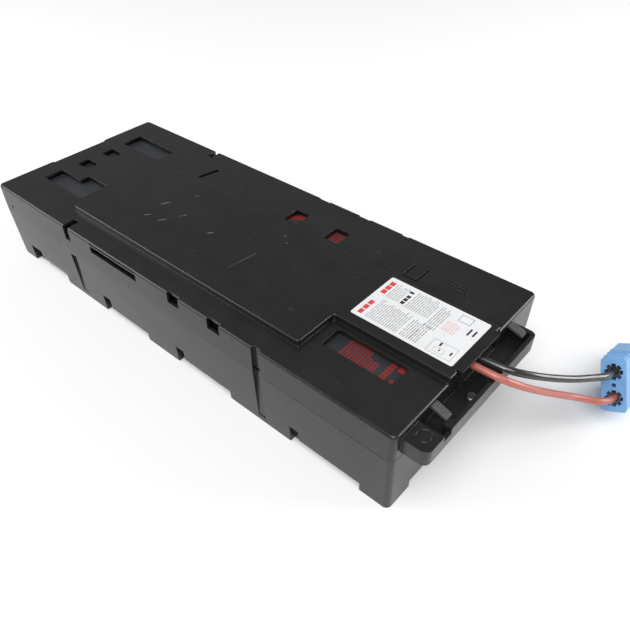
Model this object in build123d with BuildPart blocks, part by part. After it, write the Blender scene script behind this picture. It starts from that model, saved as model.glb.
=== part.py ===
from build123d import *
from math import cos, radians, sin, sqrt, tan
import os

os.makedirs("parts", exist_ok=True)

# Driving dimensions in millimetres, with +X towards the lead end and +Z up

# Sealed 12 V battery, laid on its long side with its terminal face towards X
battery_depth = 94.0
battery_width = 151.0
battery_height = 65.0
battery_edge = 1.6
battery_lid = 13.0
lid_groove_width = 1.0
lid_groove_depth = 0.6

# How the four batteries lie in the case
terminal_gap = 20.5
back_gap = 2.5
end_gap = 3.75
side_gap = 4.2
top_gap = 2.7

# Case walls
wall = 2.5
floor = 3.0
side_draft = 2.2
corner_radius = 4.0
seam_height = 51.0
deck_edge_radius = 2.2
seam_line = 0.4
lip_height = 2.5
lip_thickness = 1.1
lip_clearance = 0.15

# Raised plateau and the channel that runs on to the front
plateau_step = 5.0
plateau_near = 64.6
plateau_back_overlap = 8.8
plateau_front_overlap = 10.6
channel_near = 29.0
channel_far = 31.0
plateau_corner = 2.4
plateau_edge = 1.2

# Battery windows in the deck
window_corner = 1.5
back_window_inset = 21.25
back_window_length = 57.5
near_window_width = 18.0
near_back_window_y = -50.5
window_notch_length = 27.6
window_notch_width = 9.3
far_back_window_length = 53.7
far_back_window_width = 20.6
far_back_window_y = 36.0
small_window_length = 16.5
small_window_width = 12.0
small_window_pitch = 27.0
small_window_lead = 0.9
small_window_y = -16.5
print_window_length = 14.0
print_window_width = 17.5
print_window_pitch = 42.0
print_window_y = 39.5
print_window_lead = 31.5
front_window_inset = 25.25
front_window_length = 55.4
front_window_y = -52.0
flex_tab_length = 18.6
flex_tab_width = 12.4
flex_tab_slot = 1.3
flex_tab_inset = 83.0
flex_tab_y = 40.0
slant_slot_width = 4.2
slant_slot_length = 21.0
slant_slot_lean = 12.0
slant_slot_lead = 10.5
slant_slot_y = 50.0

# Openings and grooves in the sides
edge_notch_width = 7.0
edge_notch_height = 13.2
edge_notch_depth = 12.0
edge_notch_lead = 4.4
clip_notch_width = 12.0
clip_notch_height = 9.2
clip_notch_leads = (23.5, 65.5)
side_slot_length = 58.0
side_slot_height = 8.6
side_slot_bar = 1.2
side_slot_cover = 1.2
side_slot_lead = 19.0
side_groove_width = 7.0
side_groove_depth = 2.5
tray_groove_width = 8.0
tray_groove_top = 45.0
tray_groove_foot = 5.0
dimple_radius = 1.6
dimple_depth = 0.5
dimple_inset = 14.6
dimple_height = 55.5
deck_mark_lead = 12.0
deck_mark_y = 52.0
plateau_mark_lead = 13.7
plateau_mark_y = -45.4

# Feet and the chamfered reliefs between them, each relief with a recess where it begins
relief = 6.5
relief_depth = 4.2
relief_starts = (21.25, 135.15, 230.5, 349.5)
relief_lengths = (55.8, 57.8, 59.25, 59.95)
relief_heights = (10.0, 6.5, 7.0, 7.0)
recess_lengths = (17.0, 10.0, 9.0, 8.0)
recess_height = 16.5
recess_depth = 4.6
corner_foot = 23.0

# Ribs that hold the batteries
rib = 2.5
rib_clearance = 0.3
cross_rib_height = 12.0
hold_rib_length = 30.0
hold_rib_y = 70.0

# Back edge with its lowered middle
back_step_width = 58.0
back_step_drop = 4.5
back_step_depth = 3.5

# Front shelf with its trough
shelf_reach = 17.5
shelf_top = 68.0
shelf_bottom = 56.0
shelf_near = 77.5
shelf_far = 52.0
shelf_rim = 3.0
shelf_corner = 5.0
trough_floor = 59.5
rim_notch_width = 7.5
rim_notch_y = -56.75
rim_notch_depth = 5.0
pad_length = 17.0
ring_mark_radius = 5.0
ring_mark_width = 1.0
ring_mark_depth = 0.4
ring_mark_y = -67.5
stop_bump_y = -50.0
stop_bump_length = 6.5
stop_bump_width = 3.0
stop_bump_sink = 0.5

# Hood over the lead exit
hood_reach = 3.0
hood_near = 20.2
hood_far = 24.3
hood_wall = 2.4
hood_notch_width = 1.4
hood_notch_depth = 1.6

# Screw in the shelf
screw_y = -18.6
screw_head_radius = 3.5
screw_head_height = 2.0
screw_radius = 1.5
screw_length = 8.0
screw_hole_clearance = 0.1
screw_boss_radius = 4.0
screw_boss_rise = 0.8

# Ribbed latch tabs
latch_width = 6.0
latch_near_y = -45.9
latch_far_y = 46.0
latch_thickness = 1.6
latch_leg = 12.0
latch_reach = 11.0
latch_fall = 3.2
latch_rib_height = 0.6
latch_rib_width = 0.8
latch_rib_count = 4
latch_clearance = 0.3

# Label on the channel
label_length = 78.0
label_width = 48.6
label_thickness = 0.2
label_inset = 4.75
label_y = 3.7

# Blade terminals and flag receptacles
terminal_y = 63.0
terminal_drop = 10.0
well_size = 14.0
well_depth = 3.0
blade_width = 6.35
blade_thickness = 0.8
blade_reach = 6.0
blade_base = 10.0
blade_base_thickness = 1.0
receptacle_width = 7.8
receptacle_height = 3.2
receptacle_length = 7.0
receptacle_clearance = 0.15
receptacle_barrel = 9.0
barrel_wall = 0.8
barrel_floor = 1.0

# Leads and jumpers
lead_diameter = 5.0
lead_clearance = 0.2
link_reach = 20.0

# Two-pole connector, resting on a corner of its nose
connector_length = 47.8
connector_width = 36.5
connector_thickness = 16.0
connector_pitch = 20.0
connector_roll = 24.0
connector_x = 275.9
connector_y = 76.5
pole_spacing = 18.7
connector_edge = 1.5
front_step_length = 17.0
front_step = 1.2
mouth_length = 24.0
mouth_width = 12.6
mouth_height = 10.6
cavity_clearance = 0.4
cavity_arm_length = 11.6
cavity_arm_width = 3.0
cavity_arm_depth = 9.0
grip_height = 1.6
grip_pitch = 8.0
grip_count = 3
contact_radius = 4.0
contact_inset = 2.0
lead_depth = 8.0
tongue_length = 21.0
tongue_width = 8.5
tongue_thickness = 2.2
tongue_offset = 1.5
spring_width = 7.0
spring_thickness = 0.7
middle_hole_radius = 1.5
middle_hole_depth = 12.0

# Sizes worked out from the ones above
body_length = 4 * battery_depth + 2 * terminal_gap + back_gap + 2 * (end_gap + wall)
base_width = battery_width + 2 * (side_gap + wall)
body_width = base_width + 2 * side_draft
deck_height = floor + battery_height + top_gap + wall
plateau_height = deck_height + plateau_step
back_x = -(body_length + shelf_reach) / 2
front_x = back_x + body_length
middle_x = (back_x + front_x) / 2
shelf_x = front_x + shelf_reach
battery_top = floor + battery_height
deck_under = deck_height - wall

battery_1_x = back_x + wall + end_gap
battery_2_x = battery_1_x + battery_depth + terminal_gap
battery_3_x = battery_2_x + battery_depth + back_gap
battery_4_x = battery_3_x + battery_depth + terminal_gap
first_gap_x = battery_2_x - terminal_gap / 2
last_gap_x = battery_4_x - terminal_gap / 2
plateau_back = battery_1_x + battery_depth - plateau_back_overlap
plateau_front = battery_4_x + plateau_front_overlap
side_groove_x = last_gap_x + 1.1
tray_groove_x = first_gap_x - 4.7
groove_floor = body_width / 2 - side_groove_depth
recess_floor = base_width / 2 - recess_depth
relief_line = base_width / 2 - relief
inner_relief = relief_line - wall * sqrt(2)
over_battery_z = battery_top + lead_diameter / 2 + 0.5
contact_barrel = connector_length - mouth_length - contact_inset


def save(part, name):
    """Labels a finished piece and writes its file."""
    part.label = name
    export_step(part, f"parts/{name}.step")


def plateau_outline(height, inset):
    """Outline of the plateau and the channel, drawn in by the inset."""
    with BuildSketch(Plane.XY.offset(height)) as outline:
        with BuildLine():
            Polyline(
                (plateau_back + inset, -plateau_near + inset),
                (plateau_front - inset, -plateau_near + inset),
                (plateau_front - inset, -channel_near + inset),
                (front_x - inset, -channel_near + inset),
                (front_x - inset, channel_far - inset),
                (plateau_back + inset, channel_far - inset),
                close=True,
            )
        make_face()
        corners = outline.vertices().filter_by(lambda v: v.X < plateau_front + 1)
        fillet(corners, plateau_corner - inset / 2)
    return outline.sketch


def slab(x_start, x_end, y_start, y_end):
    """Rectangle between two corners, in the sketch of the block that calls it."""
    with Locations(((x_start + x_end) / 2, (y_start + y_end) / 2)):
        Rectangle(abs(x_end - x_start), abs(y_end - y_start))


def window(x_start, y_start, length, width):
    """Window outline with small corners, in the sketch of the block that calls it."""
    with Locations((x_start + length / 2, y_start + width / 2)):
        RectangleRounded(length, width, window_corner)


# Upright plane along the case's middle, for what repeats at both ends
end_plane = Plane(origin=(middle_x, 0, 0), x_dir=(1, 0, 0), z_dir=(0, -1, 0))

# Tray, the lower half of the case
with BuildPart() as tray:
    # Outside, a little wider at the seam than at the floor
    with BuildSketch(Plane.XY):
        with Locations((middle_x, 0)):
            RectangleRounded(body_length, base_width, corner_radius)
    with BuildSketch(Plane.XY.offset(seam_height)):
        with Locations((middle_x, 0)):
            RectangleRounded(body_length, body_width, corner_radius)
    loft()
    # Lip that stands up inside the cover's edge
    lip_inset = wall - lip_thickness
    with BuildSketch(Plane.XY.offset(seam_height)):
        with Locations((middle_x, 0)):
            RectangleRounded(
                body_length - 2 * lip_inset, body_width - 2 * lip_inset, corner_radius - lip_inset
            )
    extrude(amount=lip_height)
    # Inside
    with BuildSketch(Plane.XY.offset(floor)):
        with Locations((middle_x, 0)):
            floor_draft = side_draft * floor / seam_height
            floor_width = base_width + 2 * floor_draft - 2 * wall
            RectangleRounded(body_length - 2 * wall, floor_width, corner_radius - wall / 2)
    with BuildSketch(Plane.XY.offset(seam_height)):
        with Locations((middle_x, 0)):
            RectangleRounded(body_length - 2 * wall, body_width - 2 * wall, corner_radius - wall / 2)
    loft(mode=Mode.SUBTRACT)
    with BuildSketch(Plane.XY.offset(seam_height)):
        with Locations((middle_x, 0)):
            RectangleRounded(body_length - 2 * wall, body_width - 2 * wall, corner_radius - wall / 2)
    extrude(amount=lip_height, mode=Mode.SUBTRACT)
    # Sloped corners inside along both sides, which back up the reliefs
    side_in = base_width / 2 - wall / 2
    with BuildSketch(Plane.YZ.offset(back_x + wall / 2)):
        with BuildLine():
            Polyline(
                (inner_relief + floor - wall / 2, floor - wall / 2),
                (side_in, floor - wall / 2),
                (side_in, side_in - inner_relief),
                close=True,
            )
        make_face()
        mirror(about=Plane.YZ)
    extrude(amount=body_length - wall)
    # The same across both ends
    end_in = body_length / 2 - wall / 2
    end_line = body_length / 2 - relief - wall * sqrt(2)
    with BuildSketch(end_plane.offset(-base_width / 2 + wall / 2)):
        with BuildLine():
            Polyline(
                (end_line + floor - wall / 2, floor - wall / 2),
                (end_in, floor - wall / 2),
                (end_in, end_in - end_line),
                close=True,
            )
        make_face()
        mirror(about=Plane.YZ)
    extrude(amount=base_width - wall)
    # Ribs on the side walls that hold the batteries sideways
    rib_in = battery_width / 2 + rib_clearance
    rib_out = base_width / 2 - rib_clearance
    for battery_x in (battery_1_x, battery_2_x, battery_3_x, battery_4_x):
        with BuildSketch(Plane.XY.offset(floor / 2)):
            with Locations((battery_x + battery_depth / 2, 0)):
                with GridLocations(battery_depth / 2, rib_in + rib_out, 2, 2):
                    Rectangle(rib, rib_out - rib_in)
        extrude(amount=seam_height - lip_height - floor / 2)
    # Thicker wall inside behind the recesses at the feet
    for start, length in zip(relief_starts, recess_lengths):
        with BuildSketch(Plane.XY.offset(floor / 2)):
            with Locations((back_x + start + length / 2, 0)):
                with GridLocations(0, rib_in + rib_out, 1, 2):
                    Rectangle(length + 2 * wall, rib_out - rib_in)
        extrude(amount=recess_height + wall - floor / 2)
    # The same behind the upright grooves
    for groove_x, groove_width in ((tray_groove_x, tray_groove_width), (side_groove_x, side_groove_width)):
        with BuildSketch(Plane.XY.offset(floor / 2)):
            with GridLocations(0, 2 * groove_floor - wall, 1, 2):
                with Locations((groove_x, 0)):
                    Rectangle(groove_width + 2 * wall, wall)
        extrude(amount=seam_height - floor / 2)
    # Reliefs along both sides, between the feet
    foot_line = base_width / 2 - relief_depth
    for start, length, height in zip(relief_starts, relief_lengths, relief_heights):
        with BuildSketch(Plane.YZ.offset(back_x + start)):
            with BuildLine():
                Polyline(
                    (foot_line, 0),
                    (foot_line + 2 * relief_depth, 0),
                    (foot_line + 2 * relief_depth, 2 * height),
                    close=True,
                )
            make_face()
            mirror(about=Plane.YZ)
        extrude(amount=length, mode=Mode.SUBTRACT)
    # Reliefs across both ends, between the corner feet
    end_relief = body_length / 2 - relief
    with BuildSketch(end_plane.offset(-base_width / 2 + corner_foot)):
        with BuildLine():
            Polyline(
                (end_relief, 0),
                (end_relief + 2 * relief, 0),
                (end_relief + 2 * relief, 2 * relief),
                close=True,
            )
        make_face()
        mirror(about=Plane.YZ)
    extrude(amount=base_width - 2 * corner_foot, mode=Mode.SUBTRACT)
    # Recess in each side where a relief begins
    for start, length in zip(relief_starts, recess_lengths):
        with BuildSketch(Plane.XY):
            with Locations((back_x + start + length / 2, 0)):
                with GridLocations(0, 2 * recess_floor + 4 * wall, 1, 2):
                    Rectangle(length, 4 * wall)
        extrude(amount=recess_height, mode=Mode.SUBTRACT)
    # Upright grooves in both sides
    with BuildSketch(Plane.XY.offset(tray_groove_foot)):
        with GridLocations(0, 2 * groove_floor + 4 * wall, 1, 2):
            with Locations((tray_groove_x, 0)):
                Rectangle(tray_groove_width, 4 * wall)
    extrude(amount=tray_groove_top - tray_groove_foot, mode=Mode.SUBTRACT)
    with BuildSketch(Plane.XY.offset(tray_groove_foot)):
        with GridLocations(0, 2 * groove_floor + 4 * wall, 1, 2):
            with Locations((side_groove_x, 0)):
                Rectangle(side_groove_width, 4 * wall)
    extrude(amount=seam_height + lip_height - tray_groove_foot, mode=Mode.SUBTRACT)
    # Low cross ribs in the two terminal gaps
    for gap_x in (first_gap_x, last_gap_x):
        with BuildSketch(Plane.XY.offset(floor / 2)):
            with Locations((gap_x, 0)):
                with GridLocations(terminal_gap - rib - 2 * rib_clearance, 0, 2, 1):
                    Rectangle(rib, battery_width)
        extrude(amount=floor / 2 + cross_rib_height)
    # Fine line where the tray meets the cover
    with BuildSketch(Plane.XY.offset(seam_height - seam_line)):
        with Locations((middle_x, 0)):
            Rectangle(body_length + wall, body_width + wall)
            RectangleRounded(
                body_length - 2 * seam_line,
                body_width - 2 * seam_line,
                corner_radius - seam_line,
                mode=Mode.SUBTRACT,
            )
    extrude(amount=seam_line, mode=Mode.SUBTRACT)
save(tray.part, "tray")

# Cover, the upper half of the case
with BuildPart() as cover:
    # Skirt and deck
    with BuildSketch(Plane.XY.offset(seam_height)):
        with Locations((middle_x, 0)):
            RectangleRounded(body_length, body_width, corner_radius)
    extrude(amount=deck_height - seam_height)
    fillet(cover.faces().sort_by(Axis.Z)[-1].edges(), deck_edge_radius)
    # Plateau and channel
    extrude(plateau_outline(deck_under, 0), amount=wall + plateau_step)
    fillet(cover.faces().sort_by(Axis.Z)[-1].edges(), plateau_edge)
    # Shelf across the front
    with BuildSketch(Plane.XY.offset(shelf_bottom)) as shelf:
        slab(front_x - wall / 2, shelf_x, -shelf_near, shelf_far)
        fillet(shelf.vertices().group_by(Axis.X)[-1], shelf_corner)
    extrude(amount=shelf_top - shelf_bottom)
    with BuildSketch(Plane.XY.offset(trough_floor)) as trough:
        slab(front_x, shelf_x - shelf_rim, -shelf_near + shelf_rim, shelf_far - shelf_rim)
        fillet(trough.vertices().group_by(Axis.X)[-1], shelf_corner - shelf_rim)
    extrude(amount=shelf_top - trough_floor, mode=Mode.SUBTRACT)
    with BuildSketch(Plane.XY.offset(shelf_top - rim_notch_depth)):
        with Locations((shelf_x - shelf_rim / 2, rim_notch_y)):
            Rectangle(shelf_rim, rim_notch_width)
    extrude(amount=rim_notch_depth, mode=Mode.SUBTRACT)
    # Solid near end of the trough, with a ring mark on it
    with BuildSketch(Plane.XY.offset(trough_floor)):
        pad_end = -shelf_near + pad_length
        slab(front_x - wall / 2, shelf_x - shelf_rim / 2, -shelf_near + shelf_rim / 2, pad_end)
    extrude(amount=shelf_top - trough_floor)
    with BuildSketch(Plane.XY.offset(shelf_top - ring_mark_depth)):
        with Locations(((front_x + shelf_x) / 2, ring_mark_y)):
            Circle(ring_mark_radius)
            Circle(ring_mark_radius - ring_mark_width, mode=Mode.SUBTRACT)
    extrude(amount=ring_mark_depth, mode=Mode.SUBTRACT)
    # Rounded stop beside the rim's notch
    with BuildSketch(Plane.XY.offset(trough_floor)):
        with Locations((shelf_x - shelf_rim - stop_bump_width / 2 + stop_bump_sink, stop_bump_y)):
            RectangleRounded(stop_bump_width, stop_bump_length, stop_bump_width / 2 - 0.1)
    extrude(amount=shelf_top - trough_floor)
    # Boss for the screw, above and below the shelf
    screw_x = shelf_x - shelf_rim - screw_head_radius
    screw_seat = trough_floor + screw_boss_rise
    with BuildSketch(Plane.XY.offset(screw_seat)):
        with Locations((screw_x, screw_y)):
            Circle(screw_boss_radius)
    extrude(amount=-(screw_boss_rise + screw_length))
    with BuildSketch(Plane.XY.offset(screw_seat)):
        with Locations((screw_x, screw_y)):
            Circle(screw_radius + screw_hole_clearance)
    extrude(amount=-screw_length, mode=Mode.SUBTRACT)
    # Hood over the lead exit
    with BuildSketch(Plane.XY.offset(shelf_top)) as hood:
        slab(front_x - wall / 2, front_x + hood_reach, -hood_near, hood_far)
        fillet(hood.vertices().group_by(Axis.X)[-1], hood_wall / 2)
    extrude(amount=plateau_height - shelf_top)
    # Small notches in the channel's front edge, beside the hood
    with BuildSketch(Plane.XY.offset(deck_height)):
        for notch_y in (-hood_near - hood_notch_width / 2, hood_far + hood_notch_width / 2):
            with Locations((front_x - hood_notch_depth / 2, notch_y)):
                Rectangle(hood_notch_depth, hood_notch_width)
    extrude(amount=plateau_step, mode=Mode.SUBTRACT)
    # Inside under the deck, and under the plateau and channel
    with BuildSketch(Plane.XY.offset(seam_height)):
        with Locations((middle_x, 0)):
            RectangleRounded(body_length - 2 * wall, body_width - 2 * wall, corner_radius - wall / 2)
    extrude(amount=deck_under - seam_height, mode=Mode.SUBTRACT)
    plateau_room = plateau_outline(seam_height, wall)
    extrude(plateau_room, amount=plateau_height - wall - seam_height, mode=Mode.SUBTRACT)
    # Rebate inside the edge for the tray's lip
    rebate = lip_inset - lip_clearance
    with BuildSketch(Plane.XY.offset(seam_height)):
        with Locations((middle_x, 0)):
            RectangleRounded(body_length - 2 * rebate, body_width - 2 * rebate, corner_radius - rebate)
    extrude(amount=lip_height + lip_clearance, mode=Mode.SUBTRACT)
    # Way out for the leads under the hood
    with BuildSketch(Plane.XY.offset(shelf_top)):
        slab(front_x - 2 * wall, front_x + 2 * hood_reach, -hood_near + hood_wall, hood_far - hood_wall)
    extrude(amount=plateau_height - hood_wall - shelf_top, mode=Mode.SUBTRACT)
    # Lowered middle of the back edge, with its wall carried round behind it
    back_ledge = deck_height - back_step_drop
    with BuildSketch(Plane.XY.offset(back_ledge - wall)):
        with Locations((back_x + (back_step_depth + wall + 1) / 2, 0)):
            Rectangle(back_step_depth + wall - 1, back_step_width + 2 * wall)
    extrude(amount=back_step_drop)
    with BuildSketch(Plane.XY.offset(back_ledge)):
        slab(back_x, back_x + back_step_depth, -back_step_width / 2, back_step_width / 2)
    extrude(amount=back_step_drop, mode=Mode.SUBTRACT)
    # Upright groove in both sides, with its wall carried round inside
    with BuildSketch(Plane.XY.offset(seam_height + lip_height + lip_clearance)):
        with GridLocations(0, 2 * groove_floor - wall, 1, 2):
            with Locations((side_groove_x, 0)):
                Rectangle(side_groove_width + 2 * wall, wall)
    extrude(until=Until.NEXT)
    with BuildSketch(Plane.XY.offset(seam_height)):
        with GridLocations(0, 2 * groove_floor + 4 * wall, 1, 2):
            with Locations((side_groove_x, 0)):
                Rectangle(side_groove_width, 4 * wall)
    extrude(amount=deck_height - seam_height, mode=Mode.SUBTRACT)
    # Ribs under the deck that hold the batteries down
    for battery_x in (battery_1_x, battery_2_x, battery_3_x, battery_4_x):
        with BuildSketch(Plane.XY.offset(battery_top + rib_clearance)):
            with Locations((battery_x + battery_depth / 2, 0)):
                with GridLocations(0, 2 * hold_rib_y, 1, 2):
                    Rectangle(hold_rib_length, rib)
        extrude(amount=top_gap)
    # Windows over the batteries
    near_notch_x = back_x + back_window_inset + back_window_length - window_notch_length
    small_window_x = back_x + back_window_inset + small_window_lead
    front_window_x = front_x - front_window_inset - front_window_length
    print_window_x = battery_3_x + battery_depth / 2 - print_window_lead
    with BuildSketch(Plane.XY.offset(deck_under)):
        window(back_x + back_window_inset, near_back_window_y, back_window_length, near_window_width)
        window(near_notch_x, near_back_window_y, window_notch_length, near_window_width + window_notch_width)
        window(back_x + back_window_inset, far_back_window_y, far_back_window_length, far_back_window_width)
        for number in range(2):
            small_y = small_window_y + number * small_window_pitch
            window(small_window_x, small_y, small_window_length, small_window_width)
            print_x = print_window_x + number * print_window_pitch
            window(print_x, print_window_y, print_window_length, print_window_width)
        window(front_window_x, front_window_y, front_window_length, near_window_width)
    extrude(amount=wall, mode=Mode.SUBTRACT)
    # Springy tab in the deck, cut free on three sides
    flex_x = front_x - flex_tab_inset
    flex_end = flex_x + flex_tab_width
    with BuildSketch(Plane.XY.offset(deck_under)):
        slab(flex_x, flex_x + flex_tab_slot, flex_tab_y, flex_tab_y + flex_tab_length)
        slab(flex_end - flex_tab_slot, flex_end, flex_tab_y, flex_tab_y + flex_tab_length)
        slab(flex_x, flex_end, flex_tab_y, flex_tab_y + flex_tab_slot)
    extrude(amount=wall, mode=Mode.SUBTRACT)
    # Slanted slot over the second battery
    with BuildSketch(Plane.XY.offset(deck_under)):
        with Locations(Location((battery_2_x + slant_slot_lead, slant_slot_y), 90 - slant_slot_lean)):
            RectangleRounded(slant_slot_length, slant_slot_width, window_corner)
    extrude(amount=wall, mode=Mode.SUBTRACT)
    # Notches in the deck's edges, through the side walls
    edge_notch_x = first_gap_x - edge_notch_lead
    for notch_x, width, height in (
        (edge_notch_x, edge_notch_width, edge_notch_height),
        (battery_3_x + clip_notch_leads[0], clip_notch_width, clip_notch_height),
        (battery_3_x + clip_notch_leads[1], clip_notch_width, clip_notch_height),
    ):
        with BuildSketch(Plane.XY.offset(deck_height - height)):
            with GridLocations(0, body_width, 1, 2):
                with Locations((notch_x, 0)):
                    Rectangle(width, 2 * wall)
        extrude(amount=height, mode=Mode.SUBTRACT)
    # The first pair of notches runs on into the deck
    with BuildSketch(Plane.XY.offset(deck_under)):
        with GridLocations(0, body_width, 1, 2):
            with Locations((edge_notch_x, 0)):
                Rectangle(edge_notch_width, 2 * edge_notch_depth)
    extrude(amount=wall, mode=Mode.SUBTRACT)
    # Long slot in both sides, with a thin bar along it
    slot_x = battery_2_x + side_slot_lead
    slot_foot = deck_height - side_slot_cover - side_slot_height
    for foot, height in (
        (slot_foot, side_slot_height - 2 * side_slot_bar),
        (slot_foot + side_slot_height - side_slot_bar, side_slot_bar),
    ):
        with BuildSketch(Plane.XY.offset(foot)):
            with GridLocations(0, body_width, 1, 2):
                with Locations((slot_x + side_slot_length / 2, 0)):
                    Rectangle(side_slot_length, 2.2 * wall)
        extrude(amount=height, mode=Mode.SUBTRACT)
    # Gate marks on the deck, the plateau and the sides
    deck_mark = (battery_4_x - deck_mark_lead, deck_mark_y, deck_height)
    plateau_mark = (battery_4_x - plateau_mark_lead, plateau_mark_y, plateau_height)
    with Locations(deck_mark, plateau_mark):
        Hole(dimple_radius, dimple_depth)
    for start in (body_width / 2 - dimple_depth, -body_width / 2 - dimple_depth):
        with BuildSketch(Plane.XZ.offset(start)):
            with Locations((back_x + dimple_inset, dimple_height)):
                Circle(dimple_radius)
        extrude(amount=2 * dimple_depth, mode=Mode.SUBTRACT)
    # Slots for the latch tabs
    for latch_y in (latch_near_y, latch_far_y):
        with BuildSketch(Plane.XY.offset(deck_under - latch_thickness - latch_clearance)):
            with Locations((front_x, latch_y)):
                Rectangle(4 * wall, latch_width + 2 * latch_clearance)
        extrude(amount=latch_thickness + latch_clearance, mode=Mode.SUBTRACT)
save(cover.part, "cover")


def latch(name, y):
    """Ribbed tab that hangs behind the front wall and slopes out over the shelf."""
    inner_x = front_x - wall - latch_thickness
    root_top = deck_under
    root_foot = deck_under - latch_thickness
    tip_x = front_x + latch_reach
    with BuildPart() as tab:
        with BuildSketch(Plane.XZ.offset(-y - latch_width / 2)):
            with BuildLine():
                Polyline(
                    (inner_x, root_top - latch_leg),
                    (inner_x + latch_thickness, root_top - latch_leg),
                    (inner_x + latch_thickness, root_foot),
                    (front_x, root_foot),
                    (tip_x, root_foot - latch_fall),
                    (tip_x + latch_thickness / 4, root_top - latch_fall - latch_thickness / 2),
                    (tip_x, root_top - latch_fall),
                    (front_x, root_top),
                    (inner_x, root_top),
                    close=True,
                )
            make_face()
        extrude(amount=latch_width)
        # Ribs along the slope
        pitch = (latch_width - latch_rib_width) / (latch_rib_count - 1)
        for number in range(latch_rib_count):
            rib_y = y + latch_width / 2 - number * pitch
            with BuildSketch(Plane.XZ.offset(-rib_y)):
                with BuildLine():
                    Polyline(
                        (front_x + latch_rib_height, root_foot),
                        (tip_x - latch_rib_height, root_foot - latch_fall),
                        (tip_x - latch_rib_height, root_top - latch_fall + latch_rib_height),
                        (front_x + latch_rib_height, root_top + latch_rib_height),
                        close=True,
                    )
                make_face()
            extrude(amount=latch_rib_width)
    save(tab.part, name)


latch("latch_near", latch_near_y)
latch("latch_far", latch_far_y)

# Pan-head screw in the shelf's boss
with BuildPart() as screw:
    with BuildSketch(Plane.XY.offset(screw_seat)):
        with Locations((screw_x, screw_y)):
            Circle(screw_head_radius)
    extrude(amount=screw_head_height)
    chamfer(screw.edges().group_by(Axis.Z)[-1], screw_head_height / 3)
    with BuildSketch(Plane.XY.offset(screw_seat + screw_head_height)):
        with Locations((screw_x, screw_y)):
            Rectangle(screw_head_radius, screw_head_radius / 5)
            Rectangle(screw_head_radius / 5, screw_head_radius)
    extrude(amount=-screw_head_height / 2, mode=Mode.SUBTRACT)
    with BuildSketch(Plane.XY.offset(screw_seat)):
        with Locations((screw_x, screw_y)):
            Circle(screw_radius)
    extrude(amount=-(screw_length - screw_radius))
save(screw.part, "screw")

# Label on the channel
with BuildPart() as label:
    with BuildSketch(Plane.XY.offset(plateau_height)):
        with Locations((front_x - label_inset - label_length / 2, label_y)):
            RectangleRounded(label_length, label_width, window_corner)
    extrude(amount=label_thickness)
save(label.part, "label")


def battery(name, x, facing):
    """Sealed battery; facing is 1 when its terminals look towards +X and -1 towards -X."""
    lid_x = x + battery_depth / 2 + facing * (battery_depth / 2 - battery_lid)
    face_x = x + battery_depth / 2 + facing * battery_depth / 2
    with BuildPart() as block:
        with BuildSketch(Plane.XY.offset(floor)):
            with Locations((x + battery_depth / 2, 0)):
                Rectangle(battery_depth, battery_width)
        extrude(amount=battery_height)
        chamfer(block.edges(), battery_edge)
        # Groove where the lid is welded on
        with BuildSketch(Plane.YZ.offset(lid_x - lid_groove_width / 2)):
            with Locations((0, floor + battery_height / 2)):
                Rectangle(2 * battery_width, 2 * battery_height)
                Rectangle(
                    battery_width - 2 * lid_groove_depth,
                    battery_height - 2 * lid_groove_depth,
                    mode=Mode.SUBTRACT,
                )
        extrude(amount=lid_groove_width, mode=Mode.SUBTRACT)
        # Wells round the two terminals
        with BuildSketch(Plane.YZ.offset(face_x)):
            with Locations((0, battery_top - terminal_drop)):
                with GridLocations(2 * terminal_y, 0, 2, 1):
                    Rectangle(well_size, well_size)
        extrude(amount=-facing * well_depth, mode=Mode.SUBTRACT)
    save(block.part, name)


def terminal(name, face_x, facing, y):
    """Blade terminal that stands in a well of the battery's face."""
    blade_z = battery_top - terminal_drop
    well_x = face_x - facing * well_depth
    with BuildPart() as blade:
        with BuildSketch(Plane.YZ.offset(well_x)):
            with Locations((y, blade_z)):
                Rectangle(blade_base, blade_base)
        extrude(amount=facing * blade_base_thickness)
        with BuildSketch(Plane.YZ.offset(well_x)):
            with Locations((y, blade_z)):
                Rectangle(blade_width, blade_thickness)
        extrude(amount=facing * (well_depth + blade_reach))
    save(blade.part, name)


def receptacle(name, face_x, facing, y):
    """Flag receptacle on a blade, with its crimp barrel towards the case's middle."""
    blade_z = battery_top - terminal_drop
    inward = -1 if y > 0 else 1
    seat_x = face_x + facing * receptacle_clearance
    barrel_x = seat_x + facing * receptacle_length / 2
    barrel_y = y + inward * receptacle_width / 2
    with BuildPart() as flag:
        with BuildSketch(Plane.YZ.offset(seat_x)):
            with Locations((y, blade_z)):
                Rectangle(receptacle_width, receptacle_height)
        extrude(amount=facing * receptacle_length)
        with BuildSketch(Plane.YZ.offset(seat_x)):
            with Locations((y, blade_z)):
                Rectangle(blade_width + 2 * receptacle_clearance, blade_thickness + 2 * receptacle_clearance)
        extrude(amount=facing * blade_reach, mode=Mode.SUBTRACT)
        # Crimp barrel
        with BuildSketch(Plane.XZ.offset(-barrel_y)):
            with Locations((barrel_x, blade_z)):
                Circle(lead_diameter / 2 + lead_clearance + barrel_wall)
        extrude(amount=-inward * receptacle_barrel)
        with BuildSketch(Plane.XZ.offset(-barrel_y - inward * barrel_floor)):
            with Locations((barrel_x, blade_z)):
                Circle(lead_diameter / 2 + lead_clearance)
        extrude(amount=-inward * receptacle_barrel, mode=Mode.SUBTRACT)
    save(flag.part, name)


battery_places = (
    ("1", battery_1_x, 1),
    ("2", battery_2_x, -1),
    ("3", battery_3_x, 1),
    ("4", battery_4_x, -1),
)
for number, battery_x, facing in battery_places:
    battery(f"battery_{number}", battery_x, facing)
    face_x = battery_x + battery_depth / 2 + facing * battery_depth / 2
    for pole, y in (("plus", facing * terminal_y), ("minus", -facing * terminal_y)):
        terminal(f"terminal_{number}_{pole}", face_x, facing, y)
        receptacle(f"receptacle_{number}_{pole}", face_x, facing, y)


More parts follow.
